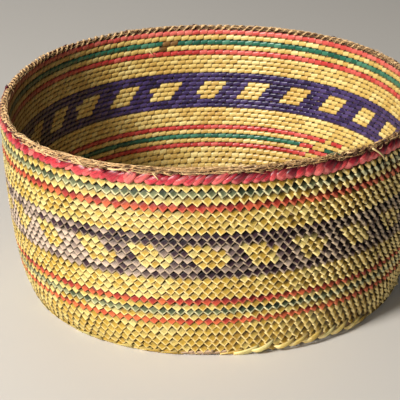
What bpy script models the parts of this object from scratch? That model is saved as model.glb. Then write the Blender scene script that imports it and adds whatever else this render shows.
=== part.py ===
"""Low open basket in wrapped twining, built in its three layers.

Bark warps fan out from a plaited square in the base and turn up into the wall. Coloured grass courses
wrap them on the outside, and rows of weft lie against them on the inside. A twisted cord closes the rim.
Metres, +Z up. The origin is the centre of the ring that the basket stands on.
"""

import math

import bmesh
import bpy

MM = 0.001

# Overall size
RIM_RADIUS = 80 * MM
TAPER = 5.6 * MM
FOOT_RADIUS = 3.0 * MM

# First course, last course and height of each: the work opens out near the rim and near the foot
COURSE_HEIGHTS = (
    (1, 1, 4.2 * MM),
    (2, 5, 2.25 * MM),
    (6, 26, 2.0 * MM),
    (27, 31, 2.45 * MM),
)

# How far the basket has gone out of round: cosine and sine shares of its radius for 2, 3 and 4 bulges
OUT_OF_ROUND = {2: (-0.031, 0.010), 3: (0.011, -0.007), 4: (-0.011, -0.003)}

# Layers of the wall, as depths below its outer face
GAP = 0.3 * MM
TUCK = 0.45 * MM
COURSE_DEPTH = 0.95 * MM
WARP_FACE = 1.2 * MM
WARP_BACK = 1.6 * MM
WEFT_BACK = 1.85 * MM
WEFT_GROOVE = 2.35 * MM
WEFT_CREST = 2.7 * MM
LASHING_BULGE = 0.45 * MM

# Base
WINDOW_RADIUS = 31 * MM
BAND_SPLIT = 52 * MM
REST_WIDTH = 3.4 * MM
BASE_CREST = 0.2 * MM
BASE_GROOVE = 0.6 * MM
PLAIT_SIDE = 42 * MM
PLAIT_CELLS = 6
PLAIT_RELIEF = 0.45 * MM
PLAIT_THICKNESS = 0.9 * MM

# Rim cord, which lies in the angle behind the lashing, on the first row of inner weft
CORD_RADIUS = 1.4 * MM
CORD_DEPTH = 2.0 * MM
CORD_SIDES = 6
CORD_SEAT = 1.9 * MM

# Warps: the rings have a flat side for every six stitches, with one wide stave behind each side
STITCHES = 162
SIDES = STITCHES // 6
STAVE_GAP = 1.6 * MM
WARP_STATIONS = (9, 17, 21, 26, 31)
HUB_RADIUS = 64 * MM

# Runs of courses of one colour, counted down from the rim
COLOUR_RUNS = (
    (1, 1, "red"),
    (2, 2, "natural"),
    (3, 3, "green"),
    (4, 4, "natural"),
    (5, 5, "red"),
    (6, 9, "natural"),
    (10, 11, "purple"),
    (12, 15, "blocks"),
    (16, 17, "purple"),
    (18, 21, "natural"),
    (22, 22, "red"),
    (23, 23, "natural"),
    (24, 24, "green"),
    (25, 25, "natural"),
    (26, 26, "red"),
    (27, 31, "natural"),
)

# Linear base colour and roughness of each fibre
FIBRES = {
    "red": ((0.60, 0.045, 0.055), 0.42),
    "natural": ((0.72, 0.51, 0.17), 0.48),
    "green": ((0.035, 0.19, 0.10), 0.50),
    "purple": ((0.055, 0.035, 0.10), 0.50),
    "blocks": ((0.36, 0.26, 0.14), 0.50),
    "bark": ((0.20, 0.105, 0.05), 0.75),
    "cord": ((0.45, 0.31, 0.15), 0.80),
}

def course_edge(course):
    """Distance of a course's lower edge below the top of the wall."""
    spans = [(min(course, last) - first + 1, height) for first, last, height in COURSE_HEIGHTS]
    return sum(count * height for count, height in spans if count > 0)


# What follows from the dimensions above
SIDE_ANGLE = 2 * math.pi / SIDES
TO_FLAT = math.cos(SIDE_ANGLE / 2)
COURSES = COURSE_HEIGHTS[-1][1]
LASHING_HEIGHT = course_edge(1)
WALL_HEIGHT = course_edge(COURSES)
WALL_LEAN = math.atan(3 * TAPER / WALL_HEIGHT)
FOOT_CENTRE_RADIUS = RIM_RADIUS - TAPER - FOOT_RADIUS * math.cos(WALL_LEAN)
WALL_FOOT = FOOT_RADIUS * (1 - math.sin(WALL_LEAN))
WALL_TOP = WALL_FOOT + WALL_HEIGHT
FOOT_TURN = math.pi / 2 - WALL_LEAN
FOOT_END = WALL_HEIGHT + FOOT_RADIUS * FOOT_TURN


def skin(down, depth):
    """Radius and height of a point, from its way down the outer face and its depth behind that face.

    The wall draws in with the cube of the way down, turns through the foot on an arc, and then
    runs level to the centre of the base.
    """
    if down <= WALL_HEIGHT:
        part = down / WALL_HEIGHT
        lean = math.atan(3 * TAPER * part**2 / WALL_HEIGHT)
        radius = RIM_RADIUS - TAPER * part**3
        height = WALL_TOP - down
    elif down <= FOOT_END:
        lean = WALL_LEAN + (down - WALL_HEIGHT) / FOOT_RADIUS
        radius = FOOT_CENTRE_RADIUS + FOOT_RADIUS * math.cos(lean)
        height = FOOT_RADIUS * (1 - math.sin(lean))
    else:
        lean = math.pi / 2
        radius = FOOT_CENTRE_RADIUS - (down - FOOT_END)
        height = 0
    return radius - depth * math.cos(lean), height + depth * math.sin(lean)


def down_to(radius):
    """The way down the outer face to a radius on the level base."""
    return FOOT_END + FOOT_CENTRE_RADIUS - radius


def worn_round(angle):
    """Share of its true radius that a point of the basket has now, by the way that it faces."""
    share = 1
    for bulges, (along, aside) in OUT_OF_ROUND.items():
        share += along * math.cos(bulges * angle) + aside * math.sin(bulges * angle)
    return share


def clear_scene():
    for old in list(bpy.data.objects):
        bpy.data.objects.remove(old)


def fibre_material(name, fibre):
    colour, roughness = FIBRES[fibre]
    material = bpy.data.materials.new(name)
    material.use_nodes = True
    shader = material.node_tree.nodes["Principled BSDF"]
    shader.inputs["Base Color"].default_value = (*colour, 1)
    shader.inputs["Roughness"].default_value = roughness
    shader.inputs["Metallic"].default_value = 0
    material.diffuse_color = (*colour, 1)
    return material


def add_object(name, shape, fibre, sharp_angle=35):
    """Press a true round shape out of round, and turn it into a named object with its own material."""
    for point in shape.verts:
        point.co.xy = point.co.xy * worn_round(math.atan2(point.co.y, point.co.x))
    bmesh.ops.recalc_face_normals(shape, faces=shape.faces)
    mesh = bpy.data.meshes.new(name)
    shape.to_mesh(mesh)
    shape.free()
    mesh.shade_smooth()
    mesh.set_sharp_from_angle(angle=math.radians(sharp_angle))
    mesh.materials.append(fibre_material(name, fibre))
    made = bpy.data.objects.new(name, mesh)
    bpy.context.scene.collection.objects.link(made)
    return made


def add_ring(name, outline, fibre):
    """Spin a closed outline of (radius, height) points once round the upright axis."""
    shape = bmesh.new()
    points = [shape.verts.new((radius, 0, height)) for radius, height in outline]
    edges = [shape.edges.new(pair) for pair in zip(points, points[1:] + points[:1])]
    bmesh.ops.spin(
        shape,
        geom=points + edges,
        cent=(0, 0, 0),
        axis=(0, 0, 1),
        angle=2 * math.pi,
        steps=SIDES,
        use_merge=True,
    )
    return add_object(name, shape, fibre)


def add_course(course, fibre):
    """One wrapped course: a wedge whose face is tucked in at its top and overhangs at its bottom."""
    top = course_edge(course - 1) + GAP / 2
    bottom = course_edge(course) - GAP / 2
    outline = [skin(top, TUCK), skin(bottom, 0), skin((top + bottom) / 2, COURSE_DEPTH)]
    add_ring(f"course_{course:02d}_{fibre}", outline, fibre)


def add_rim_lashing():
    """The first course, a thick red roll of leaning loops that stands proud below the cord."""
    bottom = LASHING_HEIGHT - GAP / 2
    outline = [
        skin(GAP / 2, 0),
        skin(0.3 * bottom, -LASHING_BULGE),
        skin(0.75 * bottom, -LASHING_BULGE),
        skin(bottom, 0),
        skin(bottom / 2, COURSE_DEPTH),
    ]
    add_ring("rim_lashing_red", outline, "red")


def ribs(edges, crest, groove, back):
    """Outline with one rib between each two edges, on a straight back that stops short of its ends."""
    first, last = edges[0] + GAP / 2, edges[-1] - GAP / 2
    outline = [skin(last, back), skin(first, back)]
    for above, below in zip(edges, edges[1:]):
        outline.append(skin((above + below) / 2, crest))
        if below != edges[-1]:
            outline.append(skin(below, groove))
    return outline


def add_inner_weft(first, last, fibre):
    """The rows of weft inside the wall, behind one run of outer courses."""
    edges = [course_edge(course) for course in range(first - 1, last + 1)]
    edges[0] = max(edges[0], CORD_SEAT)
    if last == COURSES:
        edges[-1] = (WALL_HEIGHT + FOOT_END) / 2
    rows = f"{first:02d}" if first == last else f"{first:02d}_to_{last:02d}"
    add_ring(f"inner_weft_{rows}_{fibre}", ribs(edges, WEFT_CREST, WEFT_GROOVE, WEFT_BACK), fibre)


def add_base_weft(name, outer_edge, inner_radius, crest, groove, back):
    """A band of weft rows on one face of the base, down to a radius."""
    end = down_to(inner_radius)
    edges = [outer_edge, (outer_edge + end) / 2, end]
    add_ring(name, ribs(edges, crest, groove, back), "natural")


def add_base():
    """The rows that bind the warps under the base and on its floor, and the ring it stands on."""
    split = down_to(BAND_SPLIT)
    rest_end = FOOT_END + REST_WIDTH
    foot_mid = (WALL_HEIGHT + FOOT_END) / 2
    add_base_weft("base_weft_under_outer", rest_end, BAND_SPLIT, BASE_CREST, BASE_GROOVE, COURSE_DEPTH)
    add_base_weft("base_weft_under_inner", split, WINDOW_RADIUS, BASE_CREST, BASE_GROOVE, COURSE_DEPTH)
    add_base_weft("floor_weft_outer", foot_mid, BAND_SPLIT, WEFT_CREST, WEFT_GROOVE, WEFT_BACK)
    add_base_weft("floor_weft_inner", split, WINDOW_RADIUS, WEFT_CREST, WEFT_GROOVE, WEFT_BACK)

    turn = [
        skin(WALL_HEIGHT + GAP / 2, TUCK),
        skin(foot_mid - GAP / 2, 0),
        skin((WALL_HEIGHT + foot_mid) / 2, COURSE_DEPTH),
    ]
    add_ring("foot_course_upper", turn, "natural")
    rest = [
        skin(foot_mid + GAP / 2, TUCK / 2),
        skin(FOOT_END, 0),
        skin(rest_end - GAP / 2, 0),
        skin(rest_end - GAP / 2, COURSE_DEPTH),
        skin(FOOT_END, COURSE_DEPTH),
    ]
    add_ring("foot_course_lower", rest, "natural")


def add_rim_cord():
    """The twisted cord that caps the cut ends of the warps."""
    radius, height = skin(CORD_SEAT - GAP / 2 - CORD_RADIUS, CORD_DEPTH)
    outline = []
    for side in range(CORD_SIDES):
        turn = 2 * math.pi * (side + 0.5) / CORD_SIDES
        outline.append((radius + CORD_RADIUS * math.cos(turn), height + CORD_RADIUS * math.sin(turn)))
    add_ring("rim_cord", outline, "cord")


def stave_section(side, down):
    """The four corners of a stave where it has gone a way down the wall, on one side of the rings."""
    middle = (side + 0.5) * SIDE_ANGLE
    across = (-math.sin(middle), math.cos(middle))
    corners = []
    for depth, way in ((WARP_FACE, 1), (WARP_FACE, -1), (WARP_BACK, -1), (WARP_BACK, 1)):
        radius, height = skin(down, depth)
        out = radius * TO_FLAT
        half = way * (radius * math.sin(SIDE_ANGLE / 2) - STAVE_GAP / 2)
        x = out * math.cos(middle) + half * across[0]
        y = out * math.sin(middle) + half * across[1]
        corners.append((x, y, height))
    return corners


def add_stave(shape, side, stations):
    """One wide warp, as a loft through its sections from under the rim down to the hub."""
    previous = None
    for down in stations:
        loop = [shape.verts.new(corner) for corner in stave_section(side, down)]
        if previous is None:
            shape.faces.new(loop)
        else:
            for start in range(4):
                end = (start + 1) % 4
                shape.faces.new((previous[start], previous[end], loop[end], loop[start]))
        previous = loop
    return previous


def add_plait(shape):
    """The checked square at the centre of the base: cells that rise and sink by turns, on both faces."""
    cell = PLAIT_SIDE / PLAIT_CELLS
    start = -PLAIT_SIDE / 2
    middle = (WARP_FACE + WARP_BACK) / 2
    grids = []
    for half in (-PLAIT_THICKNESS / 2, PLAIT_THICKNESS / 2):
        grid = {}
        for row in range(PLAIT_CELLS + 1):
            for column in range(PLAIT_CELLS + 1):
                place = (start + column * cell, start + row * cell, middle + half)
                grid[row, column] = shape.verts.new(place)
        for row in range(PLAIT_CELLS):
            for column in range(PLAIT_CELLS):
                rise = PLAIT_RELIEF * (1 if (row + column) % 2 else -1)
                place = (start + (column + 0.5) * cell, start + (row + 0.5) * cell, middle + half + rise)
                peak = shape.verts.new(place)
                corners = [(row, column), (row, column + 1), (row + 1, column + 1), (row + 1, column)]
                for first, second in zip(corners, corners[1:] + corners[:1]):
                    shape.faces.new((grid[first], grid[second], peak))
        grids.append(grid)
    lower, upper = grids
    border = [(0, n) for n in range(PLAIT_CELLS)]
    border += [(n, PLAIT_CELLS) for n in range(PLAIT_CELLS)]
    border += [(PLAIT_CELLS, PLAIT_CELLS - n) for n in range(PLAIT_CELLS)]
    border += [(PLAIT_CELLS - n, 0) for n in range(PLAIT_CELLS)]
    for first, second in zip(border, border[1:] + border[:1]):
        shape.faces.new((lower[first], lower[second], upper[second], upper[first]))


def add_warps():
    """The bark warps as one piece: the plaited square, the hub where its strips fan out, and the staves."""
    shape = bmesh.new()
    wall = [CORD_SEAT + GAP / 2] + [course_edge(course) for course in WARP_STATIONS]
    foot = [(WALL_HEIGHT + FOOT_END) / 2, FOOT_END]
    hub = down_to(HUB_RADIUS)
    faces = {WARP_FACE: [], WARP_BACK: []}
    for side in range(SIDES):
        root = add_stave(shape, side, wall + foot + [hub])
        for depth, (left, right) in ((WARP_FACE, (root[1], root[0])), (WARP_BACK, (root[2], root[3]))):
            corner = skin(hub, depth)
            angle = (side + 1) * SIDE_ANGLE
            place = (corner[0] * math.cos(angle), corner[0] * math.sin(angle), corner[1])
            faces[depth] += [left, right, shape.verts.new(place)]
    for loop in faces.values():
        shape.faces.new(loop)
    below, above = faces[WARP_FACE], faces[WARP_BACK]
    count = len(below)
    for start in range(count):
        end = (start + 1) % count
        if start % 3:
            shape.faces.new((below[start], below[end], above[end], above[start]))
    warps = add_object("bark_warps", shape, "bark", sharp_angle=25)

    square = bmesh.new()
    add_plait(square)
    plait = add_object("plait_form", square, "bark", sharp_angle=5)
    plait.hide_render = True
    plait.display_type = "WIRE"
    union = warps.modifiers.new("plaited centre", "BOOLEAN")
    union.operation = "UNION"
    union.object = plait


def main():
    clear_scene()
    add_warps()
    add_base()
    for first, last, fibre in COLOUR_RUNS:
        add_inner_weft(first, last, fibre)
        for course in range(max(first, 2), last + 1):
            add_course(course, fibre)
    add_rim_lashing()
    add_rim_cord()


main()
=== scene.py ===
"""Finished look of a low open basket in wrapped twining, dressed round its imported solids.

The outer face is a lattice of grass stitches, one small leaning square each. The inner face is rows of level
bricks. A red lashing and a twisted cord close the rim. Bark warps stand between the faces and cross in a
plaited square in the base. Metres, +Z up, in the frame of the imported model.
"""

import math

import bpy
import numpy as np
from bpy.props import FloatProperty, FloatVectorProperty, PointerProperty
from mathutils import Matrix, Vector


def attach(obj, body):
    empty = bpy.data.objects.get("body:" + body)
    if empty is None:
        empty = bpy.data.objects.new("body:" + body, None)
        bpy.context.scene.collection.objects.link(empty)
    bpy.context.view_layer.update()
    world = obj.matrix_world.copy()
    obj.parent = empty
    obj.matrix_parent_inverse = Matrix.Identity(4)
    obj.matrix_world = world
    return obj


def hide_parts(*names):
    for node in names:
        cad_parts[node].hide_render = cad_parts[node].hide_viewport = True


bl_info = {
    "name": "Twined basket",
    "version": (1, 0, 0),
    "blender": (4, 5, 0),
    "location": "View3D > Sidebar > Basket",
    "description": "Weaves the visible strands of a twined basket round its packed solids",
    "category": "Object",
}

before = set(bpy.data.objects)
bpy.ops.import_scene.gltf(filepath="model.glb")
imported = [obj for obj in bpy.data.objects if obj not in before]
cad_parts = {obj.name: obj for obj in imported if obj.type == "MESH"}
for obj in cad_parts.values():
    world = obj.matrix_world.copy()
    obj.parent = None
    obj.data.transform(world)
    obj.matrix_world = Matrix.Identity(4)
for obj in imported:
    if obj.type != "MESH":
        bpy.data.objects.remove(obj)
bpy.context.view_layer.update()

MM = 0.001

# Shape of the basket, as in the solids. The courses are given from the rim down, as how many and how high
RIM_RADIUS = 80 * MM
TAPER = 5.6 * MM
FOOT_RADIUS = 3.0 * MM
COURSE_HEIGHTS = ((1, 4.2 * MM), (4, 2.25 * MM), (21, 2.0 * MM), (5, 2.45 * MM))
REST_WIDTH = 3.4 * MM
BAND_SPLIT = 52 * MM
WINDOW_RADIUS = 31 * MM
PLAIT_SIDE = 42 * MM
FLOOR_GAP = 0.03 * MM

# How far it is out of round: waves round it, with their cosine and sine as shares of the radius
OUT_OF_ROUND = {2: (-0.031, 0.010), 3: (0.011, -0.007), 4: (-0.011, -0.003)}

# A soft dent at its foot: share of the radius, the way it faces, and how fast it fades upwards and sideways
DRAWN_IN = (0.032, math.radians(232), 12, 6)

# Depths of the layers behind the outer face
WARP_FACE = 1.2 * MM
WARP_BACK = 1.6 * MM
WEFT_BACK = 1.75 * MM
WEFT_CREST = 2.7 * MM

# The rim cord: its radius, how deep and how far down its middle lies, and where the rows begin below it
CORD_RADIUS = 1.5 * MM
CORD_DEPTH = 1.4 * MM
CORD_DOWN = 0.90 * MM
CORD_SAG = (0.5 * MM, 1.0 * MM)
CORD_SEAT = 1.9 * MM

# The weave: how many stitches go round, how far they crowd together at the front, and in the base how long
# they are, how high a row is, and the fewest that go round one
STITCHES = 162
CROWDING = 0.05
BASE_STITCH = 3.1 * MM
BASE_ROW = 2.3 * MM
FEWEST_STITCHES = 12

# Last course of each colour run, counted down from the rim
COLOUR_RUNS = (
    (1, "red"), (2, "natural"), (3, "green"), (4, "natural"), (5, "red"), (9, "natural"),
    (11, "purple"), (15, "blocks"), (17, "purple"), (21, "natural"),
    (22, "red"), (23, "natural"), (24, "green"), (25, "natural"), (26, "red"), (31, "natural"),
)

# The natural stitches of every six in a row of blocks, and how often a block in a row has one more or less
BLOCK_REPEAT = 6
BLOCK_ROWS = (5, 0, 1)
BLOCK_MORE = {12: 0.0, 13: 0.6, 14: 0.3, 15: 0.0}
BLOCK_LESS = {12: 0.0, 13: 0.0, 14: 0.0, 15: 0.45}

# How many stitches the inner blocks are set back, and how often they slip compared with the outer ones
INNER_SHIFT = 2
INNER_SLIPS = 0.2

# Rows of each face whose dye is paler, below 0, or deeper than the rest. The inner one goes for the floor too
OUTER_SHIFTS = {10: 0.35, 11: 0.8, 16: -0.12, 17: 0.2, 26: -0.5}
INNER_SHIFTS = {1: -0.5}

# Where an inner strand ran out or was spliced: row, first stitch, stitch after the last, finish
SPLICES = (
    (3, 45, 47, "soiled_inner"),
    (4, 47, 48, "soiled_inner"),
    (22, 18, 21, "natural_inner"),
    (22, 23, 24, "natural_inner"),
    (24, 24, 26, "natural_inner"),
    (24, 26, 28, "red_inner"),
    (25, 23, 26, "red_inner"),
    (26, 20, 27, "natural_inner"),
)

COURSES = sum(count for count, height in COURSE_HEIGHTS)
COURSE_EDGES = np.cumsum([0] + [height for count, height in COURSE_HEIGHTS for course in range(count)])
WALL_HEIGHT = COURSE_EDGES[-1]
WALL_LEAN = math.atan(3 * TAPER / WALL_HEIGHT)
FOOT_CENTRE = RIM_RADIUS - TAPER - FOOT_RADIUS * math.cos(WALL_LEAN)
WALL_TOP = WALL_HEIGHT + FOOT_RADIUS * (1 - math.sin(WALL_LEAN))
FOOT_END = WALL_HEIGHT + FOOT_RADIUS * (math.pi / 2 - WALL_LEAN)
FOOT_MIDDLE = (WALL_HEIGHT + FOOT_END) / 2
REST_END = FOOT_END + REST_WIDTH


def display(red, green, blue):
    """A colour as a screen shows it, from 0 to 255, turned into the scene's linear values."""
    shares = np.array((red, green, blue)) / 255
    return tuple(np.where(shares > 0.04045, ((shares + 0.055) / 1.055) ** 2.4, shares / 12.92))


def by_station(*values):
    """Values for the stations along a strand."""
    return np.array(values)[None, :, None]


def by_ring(*values):
    """Values for the points of the ring round a station."""
    return np.array(values)[None, None, :]


def skin(down, depth):
    """Radius and height of points, from their way down the outer face and their depth behind it.

    The wall draws in with the cube of the way down, turns through the foot on an arc, and then runs level
    to the centre of the base. Depth is measured square to that face.
    """
    part = np.clip(down, 0, WALL_HEIGHT) / WALL_HEIGHT
    wall_lean = np.arctan(3 * TAPER * part**2 / WALL_HEIGHT)
    foot_lean = np.minimum(WALL_LEAN + (down - WALL_HEIGHT) / FOOT_RADIUS, math.pi / 2)
    on_wall = down <= WALL_HEIGHT
    lean = np.where(on_wall, wall_lean, foot_lean)
    level = np.maximum(down - FOOT_END, 0)
    on_foot = FOOT_CENTRE + FOOT_RADIUS * np.cos(lean) - level
    radius = np.where(on_wall, RIM_RADIUS - TAPER * part**3, on_foot)
    height = np.where(on_wall, WALL_TOP - down, FOOT_RADIUS * (1 - np.sin(lean)))
    return radius - depth * np.cos(lean), height + depth * np.sin(lean)


def down_to(radius):
    """The way down the outer face to a radius on the level base."""
    return FOOT_END + FOOT_CENTRE - radius


def worn_round(angle, down):
    """Share of its true radius that a point has now: one plus slow waves round it, less the dent."""
    amount, facing, steep, narrow = DRAWN_IN
    low = np.clip(down / WALL_HEIGHT, 0, 1) ** steep
    share = 1 - amount * low * np.clip(np.cos(angle - facing), 0, 1) ** narrow
    for waves, (along, aside) in OUT_OF_ROUND.items():
        share = share + along * np.cos(waves * angle) + aside * np.sin(waves * angle)
    return share


def place(angle, down, depth):
    """Points in space, from the way they face, their way down the outer face and their depth behind it.

    What would come below the floor lies flat, a hair above it.
    """
    angle, down, depth = np.broadcast_arrays(angle, down, depth)
    radius, height = skin(down, depth)
    radius = radius * worn_round(angle, down)
    return np.stack((radius * np.cos(angle), radius * np.sin(angle), np.maximum(height, FLOOR_GAP)), axis=-1)


def stitch_angle(stitches):
    """The way that a place faces, counted in stitches round the basket, which crowd together at the front."""
    turn = 2 * math.pi * stitches / STITCHES
    return turn - CROWDING * np.cos(turn)


def cord_down(angle):
    """The way down to the middle of the rim cord, which rises a little at the front."""
    return CORD_DOWN + CORD_SAG[0] - CORD_SAG[1] * np.maximum(-np.sin(angle), 0) ** 2


class Field:
    """A socket in a material, on which sums are written as Python expressions."""

    def __init__(self, sheet, socket):
        self.sheet = sheet
        self.socket = socket

    def math(self, operation, *others):
        return self.sheet.field("ShaderNodeMath", {"operation": operation}, dict(enumerate((self, *others))))

    def __add__(self, other):
        return self.math("ADD", other)

    def __mul__(self, other):
        return self.math("MULTIPLY", other)

    def __sub__(self, other):
        return self.math("SUBTRACT", other)

    def __rsub__(self, other):
        return self.sheet.field("ShaderNodeMath", {"operation": "SUBTRACT"}, {0: other, 1: self})

    __radd__ = __add__
    __rmul__ = __mul__

    def least(self, other):
        return self.math("MINIMUM", other)

    def most(self, other):
        return self.math("MAXIMUM", other)

    def rise(self, low, high):
        """Goes smoothly from 0 to 1 as the value goes from low to high."""
        sockets = {"Value": self, "From Min": low, "From Max": high}
        return self.sheet.field("ShaderNodeMapRange", {"interpolation_type": "SMOOTHSTEP"}, sockets)


class Sheet:
    """A material being written: its nodes, and the finish that they feed."""

    def __init__(self, name):
        self.material = bpy.data.materials.new(name)
        self.material.use_nodes = True
        self.nodes = self.material.node_tree.nodes
        self.links = self.material.node_tree.links
        self.shader = self.nodes["Principled BSDF"]

    def put(self, socket, value):
        """Links a field to a socket, or sets the socket to a plain value."""
        if isinstance(value, Field):
            self.links.new(value.socket, socket)
        elif hasattr(value, "__len__") and len(socket.default_value) == 4:
            socket.default_value = (*value, 1)
        else:
            socket.default_value = value

    def node(self, kind, settings, sockets):
        """Adds a node of a kind, makes its settings, and then feeds its sockets, by name or number."""
        made = self.nodes.new(kind)
        for setting, value in settings.items():
            if setting == "stops":
                ramp = made.color_ramp.elements
                between = [ramp.new(0.5) for extra in value[2:]]
                for stop, (at, colour) in zip((ramp[0], *between, ramp[-1]), value):
                    stop.position = at
                    stop.color = (*colour, 1)
            else:
                setattr(made, setting, value)
        for socket, value in sockets.items():
            self.put(made.inputs[socket], value)
        return made

    def field(self, kind, settings, sockets, output=0):
        return Field(self, self.node(kind, settings, sockets).outputs[output])

    def ramp(self, value, colours, stops=(0.0, 0.5, 1.0)):
        """A colour that goes through a few as a value rises through their stops."""
        return self.field("ShaderNodeValToRGB", {"stops": tuple(zip(stops, colours))}, {0: value})

    def mix(self, share, first, second, way="MIX"):
        """A colour between two, or one laid on the other in a way such as MULTIPLY."""
        settings = {"data_type": "RGBA", "blend_type": way}
        return self.field("ShaderNodeMix", settings, {0: share, 6: first, 7: second}, 2)

    def noise(self, where, scale, detail=2.0):
        return self.field("ShaderNodeTexNoise", {}, {"Vector": where, "Scale": scale, "Detail": detail})

    def strand(self):
        """Way along the strand, way across it, and a number from 0 to 1 that each strand has for itself."""
        marks = self.field("ShaderNodeAttribute", {"attribute_name": "strand"}, {}, 1)
        split = self.node("ShaderNodeSeparateXYZ", {}, {0: marks})
        return [Field(self, socket) for socket in split.outputs]

    def body(self):
        """Place in the basket, in metres."""
        return self.field("ShaderNodeTexCoord", {}, {}, "Object")

    def toward(self, axis):
        """Place in the basket along one axis, in metres: 0 to its right, 1 to its back, 2 up."""
        return self.field("ShaderNodeSeparateXYZ", {}, {0: self.body()}, axis)

    def grain(self, along, across, chance, length, fineness):
        """Noise drawn out along the strand, another for each strand."""
        sockets = {0: along * length, 1: across * fineness, 2: chance * GRAIN_APART}
        return self.noise(self.field("ShaderNodeCombineXYZ", {}, sockets), 1.0, 3.0)

    def finish(self, colour, roughness, height, depth, strength=0.6, **rest):
        """Feeds the shader: its colour, its roughness, and a height in shares of a depth for its bumps."""
        bump = {"Height": height, "Distance": depth, "Strength": strength}
        sockets = {
            "Base Color": colour,
            "Roughness": roughness,
            "Normal": self.field("ShaderNodeBump", {}, bump),
            **{name.replace("_", " "): value for name, value in rest.items()},
        }
        for name, value in sockets.items():
            self.put(self.shader.inputs[name], value)
        return self.material


# Noises of the finishes: blotches to the metre, and how far apart in its noise each strand's grain is taken
PATCHES = 45.0
BLOTS = 420.0
CORD_PATCHES = 120.0
FUZZ = 1400.0
GRAIN_APART = 71

# Depths of their bumps
OUTER_GRAIN = 0.12 * MM
INNER_GRAIN = 0.1 * MM
BARK_GRAIN = 0.25 * MM
CORD_FUZZ = 0.5 * MM


def outer_grass(
    name, tints, wear_and_highlight_colour, painted_shade_colour, wear_and_highlight_share, fade_and_shade=2.0, streak=0.9, roughness=0.62, shade=0.5, bleach_and_light=0, sheen=0.5
):
    """Grass on the outer face: each stitch has its own tint, pale lower edges and a darker top corner.

    Its dye pales at the left and deepens to the right, a fading in the sun that also paints the light from
    the left and the shade on the right. The pale lower edges are wear and a painted highlight, and the shade
    darkens the top corner as painted shade. Painted shade lies in the seams and grooves between the stitches
    at the left, and in their pits and down their right halves at the right.
    """
    sheet = Sheet(name)
    along, across, chance = sheet.strand()
    side = sheet.toward(0)
    right = (side * 20.0).rise(0.1, 1.0)
    left = (side * -20.0).rise(0.35, 1.15)
    streaks = sheet.grain(along, across, chance, 2.0, 9.0)
    fibres = sheet.grain(along, across, chance, 3.0, 30.0)
    patches = sheet.noise(sheet.body(), PATCHES)
    blots = sheet.noise(sheet.body(), BLOTS)
    # Painted light and shade: the tint pales at the left and deepens to the right, a fading in the sun that
    # also paints the light from the left and the shade on the right.
    tint = sheet.ramp(chance * 0.7 + patches * 0.9 - 0.30 + side * fade_and_shade - left * bleach_and_light, tints)
    climb = along + across
    # Painted shade: each stitch darkens towards its top corner, more so at the right.
    light = streaks * streak + (1.20 - streak / 2) - climb.rise(0.3, 2.2) * (side * 3.0 + shade)
    # Painted light and shade: darker at the left, lighter at the right, and lighter towards the floor.
    light = light + side * 1.2 - sheet.toward(2) * 2.5
    tint = sheet.mix(1.0, tint, light, "MULTIPLY")
    # The pale lips on the lower edges are wear and a painted highlight. They grow towards the right, where
    # the right lip gives way to painted shade.
    left_edge = 1 - (along + (streaks - 0.5) * 0.16 - right * 0.16).rise(0.11, 0.29)
    right_edge = 1 - (across + (streaks - 0.5) * 0.12).rise(0.10, 0.26)
    right_edge = right_edge * (1 - climb.rise(0.5, 1.2) * 0.5) * (1 - right * 0.8)
    wear_and_highlight = left_edge.most(right_edge) * (blots.rise(0.35, 0.6) * 0.6 + 0.4) * (side * 4.0 + wear_and_highlight_share)
    tint = sheet.mix(wear_and_highlight, tint, wear_and_highlight_colour)
    # Painted shade in the pit at each top corner, growing towards the right, down the right half of each
    # stitch at the right, and in the grooves under the row above, mostly at the left.
    pit = (along * 1.1 + across * 0.9 + (blots - 0.5) * 0.6 + side * 3.0).rise(1.65, 2.25)
    comb = (along + (streaks - 0.5) * 0.3).rise(0.45, 0.95) * right * 0.9
    groove = (along.most(across) + (blots - 0.5) * 0.12 - side * 1.5).rise(0.96, 1.09)
    darkened = (pit * (side * 8.0 + 0.9)).most(groove * (0.4 - side * 4.0)).most(comb)
    tint = sheet.mix(darkened, tint, painted_shade_colour)
    # Painted shade in the seams along the lower edges, at the left.
    seam = 1 - (along.least(across) + (blots - 0.5) * 0.06).rise(-0.02, 0.10)
    tint = sheet.mix(seam * left * 0.5, tint, painted_shade_colour)
    height = streaks * 0.7 + fibres * 0.3
    return sheet.finish(tint, roughness - streaks * 0.25, height, OUTER_GRAIN, Specular_IOR_Level=sheen)


def inner_grass(name, tints, painted_shade_colour):
    """Grass on the inner face: glossier, with painted shade in the grooves, at the brick ends, towards the
    floor and on the left.
    """
    sheet = Sheet(name)
    along, across, chance = sheet.strand()
    streaks = sheet.grain(along, across, chance, 1.6, 7.0)
    patches = sheet.noise(sheet.body(), PATCHES)
    tint = sheet.ramp(chance * 0.6 + patches * 0.9 - 0.25, tints)
    # Painted shade: darker towards the floor and on the left wall inside.
    low = sheet.toward(2).rise(0.0, 0.035)
    left = sheet.toward(0).rise(-0.08, -0.025)
    tint = sheet.mix(1.0, tint, streaks * 0.8 + low * 0.22 + 0.34, "MULTIPLY")
    tint = sheet.mix(1.0, tint, left * 0.6 + 0.4, "MULTIPLY")
    # Painted shade in the grooves between the rows and at the ends of the bricks.
    groove = 1 - across.least(1 - across).rise(-0.02, 0.16)
    ends = 1 - along.least(1 - along).rise(-0.02, 0.07)
    tint = sheet.mix((groove * 0.85).most(ends * 0.5), tint, painted_shade_colour)
    return sheet.finish(tint, 0.44 - streaks * 0.22, streaks, INNER_GRAIN)


def bark_finish(name, tints):
    """A bare strip of bark or straw, streaked along its length."""
    sheet = Sheet(name)
    along, across, chance = sheet.strand()
    streaks = sheet.grain(along, across, chance, 4.0, 8.0)
    tint = sheet.ramp(streaks * 0.7 + chance * 0.3, tints, (0.2, 0.5, 0.8))
    return sheet.finish(tint, 0.85 - streaks * 0.2, streaks, BARK_GRAIN)


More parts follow.
